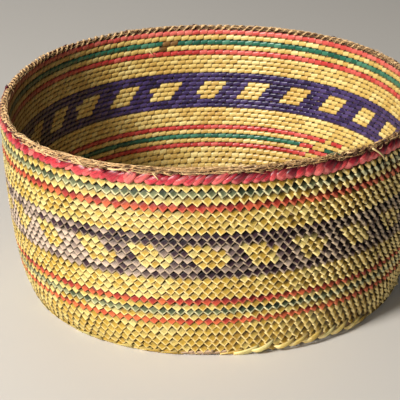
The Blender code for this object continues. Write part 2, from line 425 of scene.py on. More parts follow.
def cord_finish(name, tints):
    """Tan bark string, fuzzy, with painted shade in the hollows near its middle and towards the right. Across
    is the way out from its middle.
    """
    sheet = Sheet(name)
    along, across, chance = sheet.strand()
    fuzz = sheet.noise(sheet.body(), FUZZ, 4.0)
    patches = sheet.noise(sheet.body(), CORD_PATCHES)
    # Painted shade in the hollows near the middle, stronger at the back.
    lay = (across.rise(0.6, 0.98) - 0.5) * (sheet.toward(1) * 4.0 + 0.7)
    # Painted shade towards the right.
    tone = fuzz * 0.5 + patches * 0.3 + chance * 0.3 + lay - sheet.toward(0) * 2.0 - 0.11
    return sheet.finish(sheet.ramp(tone, tints, (0.25, 0.5, 0.78)), 0.9 - fuzz * 0.15, fuzz, CORD_FUZZ)


def make_materials():
    """All the finishes of the basket, each under its own name, made once."""
    if "natural_outer" in bpy.data.materials:
        return
    colours = bpy.context.scene.basket_colours
    # Painted shade colour for the grooves of the inner grass.
    brown = display(70, 42, 18)

    straw = (colours.straw_pale, colours.straw, colours.straw_gold)
    red = (display(218, 110, 62), colours.red, display(134, 34, 34))
    green = (display(150, 152, 106), colours.green_faded, display(44, 58, 42))
    purple = (display(208, 184, 162), colours.purple_faded, display(44, 28, 38))
    crimson = (display(244, 134, 120), colours.crimson, display(124, 22, 38))
    # Each outer grass takes its tints, the colour of its pale lips, wear with a painted highlight, and the
    # colour of its painted shade.
    outer_grass("natural_outer", straw, display(255, 229, 154), display(54, 34, 8), 0.9, shade=0.75)
    outer_grass("red_outer", red, display(232, 134, 90), display(46, 12, 6), 0.6, shade=0.85, sheen=0.3)
    outer_grass(
        "green_outer", green, display(236, 226, 172), display(20, 22, 10), 0.9,
        fade_and_shade=4.0, shade=0.95, bleach_and_light=0.1, sheen=0.3,
    )
    outer_grass(
        "purple_outer", purple, display(224, 198, 162), display(16, 8, 8), 0.6,
        fade_and_shade=5.0, shade=1.05, bleach_and_light=0.4, sheen=0.2,
    )
    outer_grass(
        "crimson_lashing", crimson, display(236, 134, 124), display(50, 8, 16), 0.45,
        fade_and_shade=3.0, streak=2.1, roughness=0.48, shade=0.9,
    )

    straw = (display(252, 234, 162), display(230, 198, 114), display(198, 156, 76))
    red = (display(236, 122, 108), colours.red_fresh, display(170, 42, 42))
    green = (display(92, 150, 120), colours.green, display(28, 74, 60))
    purple = (display(96, 80, 132), colours.purple, display(30, 22, 52))
    darkened = (display(150, 112, 66), display(122, 86, 46), display(90, 60, 28))
    # Each inner grass takes its tints and the colour of its painted shade.
    inner_grass("natural_inner", straw, brown)
    inner_grass("red_inner", red, display(74, 18, 14))
    inner_grass("green_inner", green, display(14, 36, 30))
    inner_grass("purple_inner", purple, display(16, 10, 24))
    inner_grass("soiled_inner", darkened, brown)

    bark_finish("straw_end", (display(226, 196, 130), display(240, 216, 156), display(250, 232, 184)))
    bark_finish("bark", (display(70, 36, 20), colours.bark, display(165, 105, 65)))
    cord_finish("bark_string", (display(84, 54, 30), colours.cord, display(238, 200, 146)))


def add_strands(name, strands, materials, dyes=None, closed=False):
    """Turns strands into one mesh of quads. Points run by strand, by station along it and by point round it.

    Each side quad joins two neighbours round a station with the same two at the next one. A strand either
    closes on itself, or has its ends filled with quads between opposite points of the ring.
    """
    points, *marks = strands
    count, stations, around = points.shape[:3]
    numbers = np.arange(count * stations * around).reshape(count, stations, around)
    turned = np.roll(numbers, -1, axis=2)
    sides = np.stack((numbers, turned, np.roll(turned, -1, axis=1), np.roll(numbers, -1, axis=1)), axis=-1)
    quads = [sides[:, : stations if closed else -1].reshape(count, -1, 4)]
    if not closed:
        for start in range(around // 2 - 1):
            corners = [start, start + 1, around - 2 - start, around - 1 - start]
            quads.append(numbers[:, :1, corners[::-1]].reshape(count, 1, 4))
            quads.append(numbers[:, -1:, corners].reshape(count, 1, 4))
    quads = np.concatenate(quads, axis=1)
    each = quads.shape[1]
    quads = quads.reshape(-1, 4)
    flat = points.reshape(-1, 3)
    first, second, third, fourth = (flat[quads[:, turn]] for turn in range(4))
    fans = np.cross(second - first, third - first) + np.cross(third - first, fourth - first)
    if np.einsum("ij,ij->", fans, first - flat.mean(axis=0)) < 0:
        quads = quads[:, ::-1]

    mesh = bpy.data.meshes.new(name)
    mesh.vertices.add(len(flat))
    mesh.vertices.foreach_set("co", flat.astype(np.float32).ravel())
    mesh.loops.add(quads.size)
    mesh.loops.foreach_set("vertex_index", quads.astype(np.int32).ravel())
    mesh.polygons.add(len(quads))
    mesh.polygons.foreach_set("loop_start", np.arange(0, quads.size, 4, dtype=np.int32))
    if dyes is not None:
        mesh.polygons.foreach_set("material_index", np.repeat(dyes, each).astype(np.int32))
    mesh.update(calc_edges=True)
    marks = np.stack(np.broadcast_arrays(*marks), axis=-1)
    marks = np.broadcast_to(marks, (count, stations, around, 3))
    strand = mesh.attributes.new("strand", "FLOAT_VECTOR", "POINT")
    strand.data.foreach_set("vector", marks.astype(np.float32).ravel())
    mesh.shade_smooth()
    for material in materials:
        mesh.materials.append(bpy.data.materials[material])
    made = bpy.data.objects.new(name, mesh)
    bpy.context.scene.collection.objects.link(made)
    return made


def dress(piece, slot, *nodes):
    """Fixes a piece to the basket in the place of its solids, which it hides. Its slot is not used."""
    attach(piece, "root")
    if nodes:
        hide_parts(*nodes)


class Hand:
    """The hand that works a number of strands: random amounts, shaped to go with their stations and rings."""

    def __init__(self, rng, count, uneven):
        self.rng = rng
        self.count = count
        self.uneven = uneven

    def numbers(self):
        """The strands' own numbers, from 0."""
        return np.arange(self.count)[:, None, None]

    def chance(self):
        """An amount from 0 to 1 for each strand."""
        return self.rng.random((self.count, 1, 1))

    def stray(self, amount):
        """How far each strand strays, as a normal spread of an amount."""
        return self.rng.normal(0, amount * self.uneven, (self.count, 1, 1))

    def drift(self, amount):
        """The same, but much like its neighbours': five steps in a ring of them, added up and evened out."""
        steps = self.stray(amount)
        return sum(np.roll(steps, step, axis=0) for step in range(5)) / math.sqrt(5)


def take_up(context, seed, count=STITCHES):
    """Sees that the materials are there, and gives the hand that works a piece."""
    make_materials()
    return Hand(np.random.default_rng(seed), count, context.scene.basket_weave.uneven)


def on_edges(position, edges):
    """The way down the outer face to a place counted in rows, drawn on evenly past the first and last."""
    rows = np.arange(len(edges))
    inside = np.interp(position, rows, edges)
    above = np.minimum(position, 0) * (edges[1] - edges[0])
    below = np.maximum(position - rows[-1], 0) * (edges[-1] - edges[-2])
    return inside + above + below


# A stitch on the outer face: places along it and across it, and how much of its thickness each place gives up
STITCH_ALONG = by_station(-0.07, 0.0, 0.10, 0.30, 0.66, 1.04, 1.40)
STITCH_ACROSS = by_ring(-0.07, 0.0, 0.09, 0.34, 0.80, 1.30, 0.95, 0.20)
STITCH_THIN = by_ring(0, 0, 0, 0, 0, 0, 0.45, 0.50) * MM
STITCH_FALL = 0.66
STITCH_HANG = 0.42 * MM
STITCH_STAND = 0.12 * MM
STITCH_SINK = 1.6 * MM

# The lips on its lower left and lower right edges, and how far in the left one moves with relief
LIP_HEIGHTS = (0.30 * MM, 0.18 * MM)
LIP_WIDTHS = (0.19, 0.16)
LIP_SEATS = (0.10, 0.08)
CREST_SHIFT = 0.20

# How far a stitch falls away along it and across it, at its top corner and past its edges, and how much the
# relief of the stitches differs from side to side
FALL_BEHIND = (0.50 * MM, 0.13 * MM)
CORNER_FALL = 0.36 * MM
EDGE_FALL = 5.0 * MM
SIDE_RELIEF = 0.7

# How far the hand strays in a stitch, and how far its place drifts round the basket and down it
EDGE_STRAY = 0.035
LIP_STRAY = 0.30
LIFT_STRAY = 0.07 * MM
TILT_STRAY = 0.16 * MM
TURN_STRAY = 0.06
FALL_STRAY = 0.06
ROUND_DRIFT = 0.06
DOWN_DRIFT = 0.08 * MM


def stitch_height(along, across, lips, relief):
    """How far a stitch stands proud of the outer face, for lips and relief of so many times the usual.

    It falls away along itself by its relief and across itself by two less its relief, and dips to its upper
    corner with the cube of along times across. Each lower edge has a lip, a bell curve of the distance to it,
    and turns under beyond it. The left lip sits further in where the relief is high, and the right one is
    lower where the relief is far from the usual.
    """
    seat = LIP_SEATS[0] + CREST_SHIFT * np.maximum(relief - 1, 0)
    left = LIP_HEIGHTS[0] * np.exp(-(((along - seat) / LIP_WIDTHS[0]) ** 2))
    right = LIP_HEIGHTS[1] * np.exp(-(((across - LIP_SEATS[1]) / LIP_WIDTHS[1]) ** 2))
    lip = lips * np.maximum(relief * left, np.minimum(relief, 2 - relief) * right)
    behind = relief * FALL_BEHIND[0] * along + (2 - relief) * FALL_BEHIND[1] * across
    corner = CORNER_FALL * np.maximum(along * across, 0) ** 3
    turned_under = EDGE_FALL * np.minimum(np.minimum(along, across), 0)
    height = STITCH_STAND + lip - behind - relief * corner + turned_under
    return np.maximum(height, -STITCH_SINK)


def outer_stitches(row, edge, pitch, hand):
    """Points and marks of one row of stitches on the outer face, over one lower edge.

    A stitch is a leaning square that stands on its lower tip. Each of its two lower edges goes half a stitch
    round and a share of the row's height up, and its upper edges lie under the row above. The stitches are
    rubbed flatter on the left of the basket than on its right.
    """
    along = STITCH_ALONG + hand.stray(EDGE_STRAY)
    across = STITCH_ACROSS + hand.stray(EDGE_STRAY)
    lips = np.maximum(1 + hand.stray(LIP_STRAY), 0.2)
    turn = np.cos(2 * math.pi * hand.numbers() / hand.count)
    relief = 1 + SIDE_RELIEF * np.where(turn < 0, turn, np.sqrt(np.abs(turn)))
    calm = np.minimum(relief, 1)
    height = stitch_height(STITCH_ALONG, STITCH_ACROSS, lips, relief) - STITCH_THIN
    height = height + hand.stray(LIFT_STRAY) * calm
    height = height + hand.stray(TILT_STRAY) * (along - across) * calm
    twist = hand.stray(TURN_STRAY)
    number = hand.numbers() + hand.drift(ROUND_DRIFT)
    stitches = number + row / 2 + (along - across) / 2 + twist * (along + across - 0.6)
    fall = STITCH_FALL * pitch * (1 + hand.stray(FALL_STRAY))
    down = edge + STITCH_HANG - fall * (along + across) + hand.drift(DOWN_DRIFT)
    points = place(stitch_angle(stitches * STITCHES / hand.count), down, -height)
    return points, STITCH_ALONG, STITCH_ACROSS, hand.chance()


# A brick on the inner face: stations along it with their swell, and the ring across it with its depths
BRICK_ALONG = by_station(-0.05, 0.02, 0.28, 0.72, 0.98, 1.05)
BRICK_SWELL = by_station(0.86, 0.97, 1.0, 1.0, 0.97, 0.86)
BRICK_ACROSS = by_ring(0.0, 0.18, 0.80, 1.0, 0.80, 0.20)
BRICK_DEPTH = by_ring(2.20, 2.60, 2.66, 2.22, 1.75, 1.75) * MM
BRICK_SLANT = 0.24

# How far the hand strays in a brick
SIZE_STRAY = 0.03
DEPTH_STRAY = 0.05 * MM
SLANT_STRAY = 0.05
ROW_STRAY = 0.02


def inner_bricks(row, edges, hand):
    """Points and marks of one row of bricks on the inner face.

    A brick is one stitch long and a row high, with a rounded section that narrows at both ends, and it leans
    down a little in the sense of the stitch count. Its two ends tuck in behind its neighbours.
    """
    along = BRICK_ALONG + hand.stray(SIZE_STRAY)
    swell = BRICK_SWELL * (1 + hand.stray(SIZE_STRAY))
    across = 0.5 + (BRICK_ACROSS - 0.5) * swell
    depth = WEFT_BACK + (BRICK_DEPTH - WEFT_BACK) * swell
    depth = np.minimum(depth + hand.stray(DEPTH_STRAY), WEFT_CREST)
    stitches = hand.numbers() + row / 2 + along - 0.5
    slant = BRICK_SLANT + hand.stray(SLANT_STRAY)
    rows = row - across + slant * (along - 0.5) + hand.stray(ROW_STRAY)
    points = place(stitch_angle(stitches * STITCHES / hand.count), on_edges(rows, edges), depth)
    return points, BRICK_ALONG, BRICK_ACROSS, hand.chance() + INNER_SHIFTS.get(row, 0)


def block_dyes(row, rng, shift=0, slips=1.0):
    """Which stitches of a row are purple, 1, and which are natural, 0: the blocks keep their own stitches.

    Here and there a block is a stitch wider or narrower at its far side, as the weaver's count slipped.
    """
    number = (np.arange(STITCHES) + shift) % BLOCK_REPEAT
    natural = np.isin(number, BLOCK_ROWS)
    slip = np.repeat(rng.random(STITCHES // BLOCK_REPEAT + 1), BLOCK_REPEAT)[:STITCHES]
    natural |= (number == BLOCK_ROWS[-1] + 1) & (slip < BLOCK_MORE[row] * slips)
    natural &= ~((number == BLOCK_ROWS[-1]) & (slip > 1 - BLOCK_LESS[row] * slips))
    return np.where(natural, 0, 1)


def colour_runs():
    """First course, last course and dye of each colour run."""
    first = 1
    for last, dye in COLOUR_RUNS:
        yield first, last, dye
        first = last + 1


def grass_slot(dye):
    """Slot of the solids that have a dye."""
    return "block_grass" if dye == "blocks" else f"{dye}_grass"


def base_rows(first_down, last_radius):
    """Edges of the rows between a way down and a radius, and how many stitches go round each row."""
    last_down = down_to(last_radius)
    rows = round((last_down - first_down) / BASE_ROW)
    edges = np.linspace(first_down, last_down, rows + 1)
    radii = skin((edges[:-1] + edges[1:]) / 2, 0)[0]
    return edges, np.maximum(np.round(2 * math.pi * radii / BASE_STITCH), FEWEST_STITCHES).astype(int)


def gather(parts):
    """Several rows of like strands as one set of points, marks and chances."""
    points = np.concatenate([part[0] for part in parts])
    chance = np.concatenate([part[3] for part in parts])
    return points, parts[0][1], parts[0][2], chance


def turn_pair(first, second, angle):
    """Two directions at a right angle, both turned by an angle, the first towards the second."""
    across = first * math.sin(angle)
    return first * math.cos(angle) + second * math.sin(angle), second * math.cos(angle) - across


def colour_setting(name, description, red, green, blue):
    """A colour that a user can change, given as a screen shows it."""
    return FloatVectorProperty(
        name=name, description=description, subtype="COLOR", default=display(red, green, blue)
    )


class BasketColours(bpy.types.PropertyGroup):
    """The dyes and the bare colours of the fibres."""

    straw: colour_setting("Straw", "Undyed grass", 198, 161, 58)
    straw_pale: colour_setting("Pale straw", "Undyed grass, bleached", 220, 204, 128)
    straw_gold: colour_setting("Golden straw", "Undyed grass, aged", 183, 141, 44)
    red: colour_setting("Red", "Red dye on the outer face", 180, 60, 46)
    red_fresh: colour_setting("Fresh red", "Red dye on the inner face", 208, 72, 66)
    crimson: colour_setting("Crimson", "Dye of the rim lashing", 208, 48, 62)
    green: colour_setting("Green", "Green dye on the inner face", 44, 112, 88)
    green_faded: colour_setting("Faded green", "Green dye on the outer face", 80, 90, 60)
    purple: colour_setting("Purple", "Purple dye on the inner face", 60, 46, 92)
    purple_faded: colour_setting("Faded purple", "Purple dye on the outer face", 70, 46, 56)
    bark: colour_setting("Bark", "Inner bark of the warps", 126, 72, 38)
    cord: colour_setting("Cord", "Bark string of the rim", 178, 136, 84)


class BasketWeave(bpy.types.PropertyGroup):
    """How the strands lie."""

    uneven: FloatProperty(
        name="Unevenness", description="How far the work strays from true", default=1.0, min=0, max=3
    )
    ply_radius: FloatProperty(
        name="Ply radius", description="Radius of each ply of the rim cord", default=0.72 * MM, unit="LENGTH"
    )


class BasketStage(bpy.types.PropertyGroup):
    """Floor, lights and camera."""

    floor: colour_setting("Floor", "Colour of the floor", 198, 194, 187)
    key: FloatProperty(name="Key light", description="Light from the left", default=18.0, unit="POWER")
    fill: FloatProperty(name="Fill light", description="Light from the front", default=2.8, unit="POWER")
    back: FloatProperty(name="Back light", description="Light from behind", default=2.0, unit="POWER")
    sky: FloatProperty(name="Sky", description="Strength of the light from all round", default=0.02)
    lens: FloatProperty(name="Lens", description="Focal length in millimetres", default=104.2, unit="CAMERA")


class BASKET_OT_outer_courses(bpy.types.Operator):
    """Wrap the coloured courses of the outer face"""

    bl_idname = "basket.outer_courses"
    bl_label = "Outer courses"

    def execute(self, context):
        hand = take_up(context, 11)
        for first, last, dye in colour_runs():
            for course in range(max(first, 2), last + 1):
                node = f"course_{course:02d}_{dye}"
                pitch = COURSE_EDGES[course] - COURSE_EDGES[course - 1]
                *strands, chance = outer_stitches(course, COURSE_EDGES[course], pitch, hand)
                strands.append(chance + OUTER_SHIFTS.get(course, 0))
                if dye == "blocks":
                    materials = ("natural_outer", "purple_outer")
                    dyes = block_dyes(course, hand.rng)
                else:
                    materials = (f"{dye}_outer",)
                    dyes = None
                dress(add_strands(f"{node}_stitches", strands, materials, dyes), grass_slot(dye), node)
        return {"FINISHED"}


class BASKET_OT_inner_weft(bpy.types.Operator):
    """Lay the rows of bricks on the inner face"""

    bl_idname = "basket.inner_weft"
    bl_label = "Inner weft"

    def execute(self, context):
        hand = take_up(context, 23)
        edges = COURSE_EDGES.copy()
        edges[0] = CORD_SEAT
        edges[-1] = FOOT_MIDDLE
        for first, last, dye in colour_runs():
            run = f"{first:02d}" if first == last else f"{first:02d}_to_{last:02d}"
            node = f"inner_weft_{run}_{dye}"
            rows = range(first, last + 1)
            strands = gather([inner_bricks(row, edges, hand) for row in rows])
            if dye == "blocks":
                materials = ("natural_inner", "purple_inner")
                dyes = np.concatenate([block_dyes(row, hand.rng, INNER_SHIFT, INNER_SLIPS) for row in rows])
            else:
                splices = [splice for splice in SPLICES if splice[0] in rows]
                materials = (f"{dye}_inner", *(finish for row, start, end, finish in splices))
                dyes = np.zeros(STITCHES * len(rows), dtype=int)
                for slot, (row, start, end, finish) in enumerate(splices):
                    dyes[start - row // 2 : end - row // 2] = slot + 1
            dress(add_strands(f"{node}_bricks", strands, materials, dyes), grass_slot(dye), node)
        return {"FINISHED"}


# A loop of the rim lashing: stations along it with widths and heights, and the ring across it with heights
LOOP_ALONG = by_station(-0.05, 0.0, 0.12, 0.40, 0.72, 0.92, 1.05)
LOOP_WIDTH = by_station(0.72, 0.88, 1.05, 1.10, 1.02, 0.90, 0.75)
LOOP_HEIGHT = by_station(-0.25, 0.06, 0.32, 0.40, 0.18, -0.15, -0.60) * MM
LOOP_ACROSS = by_ring(-0.04, 0.05, 0.40, 0.85, 1.10, 0.92, 0.50, 0.08)
LOOP_CROWN = by_ring(-0.25, 0.08, 0.16, -0.12, -0.50, -0.90, -0.90, -0.60) * MM

# Its run and its breadth, each in stitches round and in height. How low its tip hangs, and how much less that
# and its climb are at the left
LOOP_RUN = (1.35, 2.9 * MM)
LOOP_BREADTH = (-0.62, 1.2 * MM)
LOOP_TIP = (0.36 * MM, 1.2 * MM)
LEFT_CLIMB = 0.4

# What share of the loops is wide, and how much wider and higher those are
WIDE_LOOPS = 0.32
WIDER = 0.45
HIGHER = 0.12 * MM

# How far the hand strays in a loop, and how far its place drifts round the rim and down it
LOOP_STRAY = 0.16
LOOP_LIFT = 0.10 * MM
LOOP_TILT = 0.16 * MM
RUN_STRAY = 0.20
CLIMB_STRAY = 0.08
PLACE_STRAY = 0.08
PLACE_DRIFT = 0.10
TIP_DRIFT = 0.12 * MM


class BASKET_OT_rim_lashing(bpy.types.Operator):
    """Lash the rim with leaning red loops"""

    bl_idname = "basket.rim_lashing"
    bl_label = "Rim lashing"

    def execute(self, context):
        hand = take_up(context, 5)
        wide = hand.chance() < WIDE_LOOPS
        width = LOOP_WIDTH * (1 + hand.stray(LOOP_STRAY) + WIDER * wide)
        across = 0.5 + (LOOP_ACROSS - 0.5) * width
        height = LOOP_HEIGHT + LOOP_CROWN + HIGHER * wide + hand.stray(LOOP_LIFT)
        height = height + hand.stray(LOOP_TILT) * (across - 0.5)
        run = LOOP_RUN[0] + hand.stray(RUN_STRAY)
        climb = 1 + hand.stray(CLIMB_STRAY)
        number = hand.numbers() + hand.drift(PLACE_DRIFT)
        stitches = number + run * LOOP_ALONG + LOOP_BREADTH[0] * across + hand.stray(PLACE_STRAY)
        left = np.maximum(-np.cos(stitch_angle(number)), 0) ** 3
        climb = LOOP_RUN[1] * climb * (1 - LEFT_CLIMB * left)
        tip = LOOP_TIP[0] - LOOP_TIP[1] * left
        down = COURSE_EDGES[1] + tip - climb * LOOP_ALONG - LOOP_BREADTH[1] * across + hand.drift(TIP_DRIFT)
        points = place(stitch_angle(stitches), down, -height)
        strands = (points, LOOP_ALONG, LOOP_ACROSS, hand.chance())
        dress(add_strands("rim_lashing_loops", strands, ("crimson_lashing",)), "red_grass", "rim_lashing_red")
        return {"FINISHED"}


# The rim cord: the yarns in each of its two plies, how often they turn round the ply, and the waves in their
# places and thickness, with how far they sway out and down and how much they swell
YARNS = 5
YARN_SIDES = 5
YARN_RADIUS = 0.44 * MM
YARN_TURNS = 34
YARN_WAVES = (67, 131, 211)
YARN_SWAY = (0.06 * MM, 0.05 * MM)
YARN_SWELL = 0.15
TURN_STATIONS = 10

# How far the plies reach out from its middle: their share of it, more at the back, and less at a stitch
PLY_REACH = 0.74 * MM
REACH_SHARE = 0.86
BACK_REACH = 0.12
STITCH_PINCH = 0.16

# Its loose fibres: how many, what share of them are flat flakes, how far from the middle they start, and the
# highest that one stands. Their run is in stitches, and their lift, curl and thickness are in millimetres
LOOSE_FIBRES = 1500
FLAKES = 0.06
FIBRE_START = 0.80
FIBRE_TOP = -2.2 * MM
FIBRE_RUN = (1.2, 1.6)
FIBRE_TURN = 0.5
FIBRE_LIFT = 0.22
FIBRE_CURL = 0.35
FIBRE_THICK = (0.05, 0.10)


def cord_yarns(ply_radius, hand):
    """Helices of yarns round helices of plies, with slow waves in each yarn's place and thickness."""
    turns = STITCHES // 2
    stations = turns * TURN_STATIONS
    way = by_station(*range(stations)) / stations
    turned = 2 * math.pi * way
    ply = np.repeat((0, 1), YARNS)[:, None, None]
    yarn = np.tile(np.arange(YARNS), 2)[:, None, None]
    around = np.arange(YARN_SIDES) * 2 * math.pi / YARN_SIDES
    lay = turns * turned + math.pi * ply
    roll = 2 * math.pi * yarn / YARNS - YARN_TURNS * turned
    aside, thicker, lower = [
        sum(np.sin(waves * turned + start) for waves, start in zip(YARN_WAVES, starts))
        for starts in hand.rng.uniform(0, 2 * math.pi, (3, len(YARN_WAVES), 2 * YARNS, 1, 1))
    ]
    angle = stitch_angle(way * STITCHES)
    pinch = STITCH_PINCH * np.cos(turned * STITCHES)
    reach = PLY_REACH * (REACH_SHARE + BACK_REACH * np.sin(angle) - pinch)
    out = ply_radius - YARN_RADIUS + YARN_SWAY[0] * aside
    thick = YARN_RADIUS * (1 + YARN_SWELL * thicker)
    depth = CORD_DEPTH + reach * np.cos(lay) + out * np.cos(roll) + thick * np.cos(around)
    fall = reach * np.sin(lay) + out * np.sin(roll) + thick * np.sin(around) + YARN_SWAY[1] * lower
    points = place(angle, cord_down(angle) + fall, depth)
    return points, way * turns * 2, np.hypot(depth - CORD_DEPTH, fall) / CORD_RADIUS


def cord_fibres(hand):
    """Short tapered hairs that start on the cord, run along it a little and lift off towards their ends."""
    rng = hand.rng
    each = (hand.count, 1, 1)
    along = np.linspace(0, 1, 5)[None, :, None]
    ring = np.arange(4) * math.pi / 2
    start = hand.chance() * STITCHES
    run = rng.normal(*FIBRE_RUN, each)
    out = rng.uniform(-0.4, math.pi, each) + rng.normal(0, FIBRE_TURN, each) * along
    lift = rng.exponential(FIBRE_LIFT, each) * MM * along**1.3
    curl = rng.normal(0, FIBRE_CURL, each) * MM * np.sin(math.pi * along)
    angle = stitch_angle(start + run * along)
    thick = rng.uniform(*FIBRE_THICK, each) * MM * (1 - 0.7 * along) * (1 - 0.5 * np.sin(angle))
    flat = 1 + 2.0 * (hand.chance() < FLAKES)
    reach = CORD_RADIUS * FIBRE_START + lift
    depth = CORD_DEPTH - np.cos(out) * reach + curl + thick * np.cos(ring)
    down = cord_down(angle) - np.sin(out) * reach + thick * flat * np.sin(ring)
    return place(angle, np.maximum(down, FIBRE_TOP), depth), along, np.ones(4)


class BASKET_OT_rim_cord(bpy.types.Operator):
    """Twist the cord that caps the rim, with its loose fibres"""

    bl_idname = "basket.rim_cord"
    bl_label = "Rim cord"

    def execute(self, context):
        hand = take_up(context, 7, 2 * YARNS)
        points, along, across = cord_yarns(context.scene.basket_weave.ply_radius, hand)
        strands = (points, along, across, hand.chance())
        dress(add_strands("rim_cord_yarns", strands, ("bark_string",), closed=True), "cord", "rim_cord")

        hand = Hand(hand.rng, LOOSE_FIBRES, hand.uneven)
        strands = (*cord_fibres(hand), hand.chance())
        dress(add_strands("rim_cord_fibres", strands, ("bark_string",)), "cord")
        return {"FINISHED"}


# Loose ends of straw, the last one inside: stitches round and millimetres down where each leaves the weave,
# the same where it ends, and its width in millimetres
LOOSE_ENDS = (
    (140.0, -0.3, 141.95, 5.0, 0.36),
    (115.6, 0.2, 116.2, 2.2, 0.18),
    (108.4, 0.6, 107.3, -1.8, 0.20),
    (111.4, 0.4, 112.9, -1.6, 0.20),
    (36.0, 1.2, 37.6, 4.8, 0.30),
    (71.0, 2.0, 69.2, 6.0, 0.40),
    (48.8, 10.2, 48.0, 12.6, 0.80),
)
LOOSE_STAND = 1.0 * MM


class BASKET_OT_loose_ends(bpy.types.Operator):
    """Leave a few ends of straw sticking out of the rim"""

    bl_idname = "basket.loose_ends"
    bl_label = "Loose ends"

    def execute(self, context):
        make_materials()
        ends = np.array(LOOSE_ENDS) * (1, MM, 1, MM, MM)
        first, first_down, last, last_down, width = ends.T[..., None, None]
        along = np.linspace(0, 1, 8)[None, :, None]
        aside, up = np.array(((-1, 0), (0, 1), (1, 0), (0, -1))).T
        bend = np.sin(math.pi * along)
        stitches = first + (last - first) * along + 0.15 * bend
        stitches = stitches - width * 0.8 * aside * STITCHES / (2 * math.pi * RIM_RADIUS)
        down = first_down + (last_down - first_down) * along + width * 0.6 * aside
        height = LOOSE_STAND * (1 + bend * 0.7 + along * 0.3) + 0.25 * width * up
        height[-1] = -WEFT_CREST - height[-1] * 0.3
        points = place(stitch_angle(stitches), down, -height)
        strands = (points, along, 0.5, 0.0)
        dress(add_strands("loose_straw_ends", strands, ("straw_end",)), "natural_grass")
        return {"FINISHED"}


# A long loop at the foot edge: stations along it with widths and sag, and the ring across it with heights
CRESCENT_ALONG = by_station(*np.linspace(0, 1, 7))
CRESCENT_WIDTH = by_station(0.25, 0.75, 1.0, 1.05, 1.0, 0.8, 0.35)
CRESCENT_SAG = by_station(-0.9, 0.35, 0.65, 0.70, 0.55, 0.30, 0.0) * MM
CRESCENT_ACROSS = by_ring(0.0, 0.22, 0.70, 1.0, 0.75, 0.25)
CRESCENT_HEIGHT = by_ring(0.35, 0.95, 0.85, 0.40, -0.10, -0.10) * MM
CRESCENT_BREADTH = 2.4 * MM
CRESCENT_BOW = 0.3

# What differs between a flat loop and a proud one: its stand, its run in stitches, its width and its height
CRESCENT_STAND = (0.10 * MM, 0.75 * MM)
CRESCENT_RUN = (3.0, 2.6)
FLAT_WIDTH = 0.95
FLAT_HEIGHT = 0.4

# How far the two ends of a loop lie past the foot's middle and past the wall, and how far a proud one's lift
CRESCENT_ENDS = (FOOT_MIDDLE + 0.5 * MM, WALL_HEIGHT + 0.6 * MM)
CRESCENT_LIFTS = (2.3 * MM, 4.3 * MM)

# Where loops stand proud, as a middle and a half width, and where the grass is worn off the bark, in stitches
PROUD_LOOPS = (134.0, 8.0)
BARE_STITCHES = (117, 131)
BARE_LOOPS = (117, 124)
BARE_SINK = 0.2 * MM

# How much further the hand strays in the upper course, and how far in the long loops of the lower one
FOOT_ROUGHNESS = 1.4
CRESCENT_STRAY = 0.12
START_STRAY = 0.25
LENGTH_DRIFT = 0.3
LOW_STRAY = 0.2 * MM
HIGH_STRAY = 0.3 * MM
STAND_STRAY = 0.06 * MM


def long_loops(hand):
    """Crescents that start low and end high, one for every two stitches, and which of them are bare.

    All sizes go from those of a flat loop to those of a proud one with a flat-topped bell curve of the
    distance round from the middle of the proud ones.
    """
    along = CRESCENT_ALONG
    start = hand.numbers() * 2
    proud = np.exp(-(((start - PROUD_LOOPS[0]) / PROUD_LOOPS[1]) ** 6))
    bare = (start >= BARE_LOOPS[0]) & (start < BARE_LOOPS[1])
    width = CRESCENT_WIDTH * proud + FLAT_WIDTH * (1 - proud)
    width = width * (1 + hand.stray(CRESCENT_STRAY))
    number = start + hand.stray(START_STRAY)
    run = CRESCENT_RUN[0] + (CRESCENT_RUN[1] - CRESCENT_RUN[0]) * proud + hand.drift(LENGTH_DRIFT)
    low = CRESCENT_ENDS[0] - CRESCENT_LIFTS[0] * proud + hand.stray(LOW_STRAY)
    high = CRESCENT_ENDS[1] - CRESCENT_LIFTS[1] * proud + hand.stray(HIGH_STRAY)
    stitches = number + run * (along - 0.5) + CRESCENT_BOW * 4 * along * (1 - along)
    down = low + (high - low) * along + CRESCENT_SAG * proud
    down = down - CRESCENT_BREADTH * (CRESCENT_ACROSS - 0.5) * width
    height = CRESCENT_HEIGHT * width * (FLAT_HEIGHT + (1 - FLAT_HEIGHT) * proud) + hand.stray(STAND_STRAY)
    stand = CRESCENT_STAND[0] + (CRESCENT_STAND[1] - CRESCENT_STAND[0]) * proud - BARE_SINK * bare
    points = place(stitch_angle(stitches), down, -height - stand)
    chance = hand.chance() * 0.8 - 0.6 * proud
    return (points, along, CRESCENT_ACROSS, chance), bare.ravel()


class BASKET_OT_foot(bpy.types.Operator):
    """Turn the wall into the base on two courses, the lower one of long loops"""

    bl_idname = "basket.foot"
    bl_label = "Foot"

    def execute(self, context):
        hand = take_up(context, 31)
        hand.uneven = hand.uneven * FOOT_ROUGHNESS
        strands = outer_stitches(COURSES + 1, FOOT_MIDDLE, FOOT_MIDDLE - WALL_HEIGHT, hand)
        number = np.arange(STITCHES)
        bare = (number >= BARE_STITCHES[0]) & (number <= BARE_STITCHES[1])
        piece = add_strands("foot_course_upper_stitches", strands, ("natural_outer", "bark"), bare)
        dress(piece, "natural_grass", "foot_course_upper")

        hand = Hand(hand.rng, STITCHES // 2, context.scene.basket_weave.uneven)
        strands, bare = long_loops(hand)
        piece = add_strands("foot_course_lower_loops", strands, ("natural_outer", "bark"), bare)
        dress(piece, "natural_grass", "foot_course_lower")
        return {"FINISHED"}


# How far the rows under the base are lifted, and how near the floor they then come
UNDER_LIFT = 0.45 * MM
UNDER_GAP = 0.15 * MM


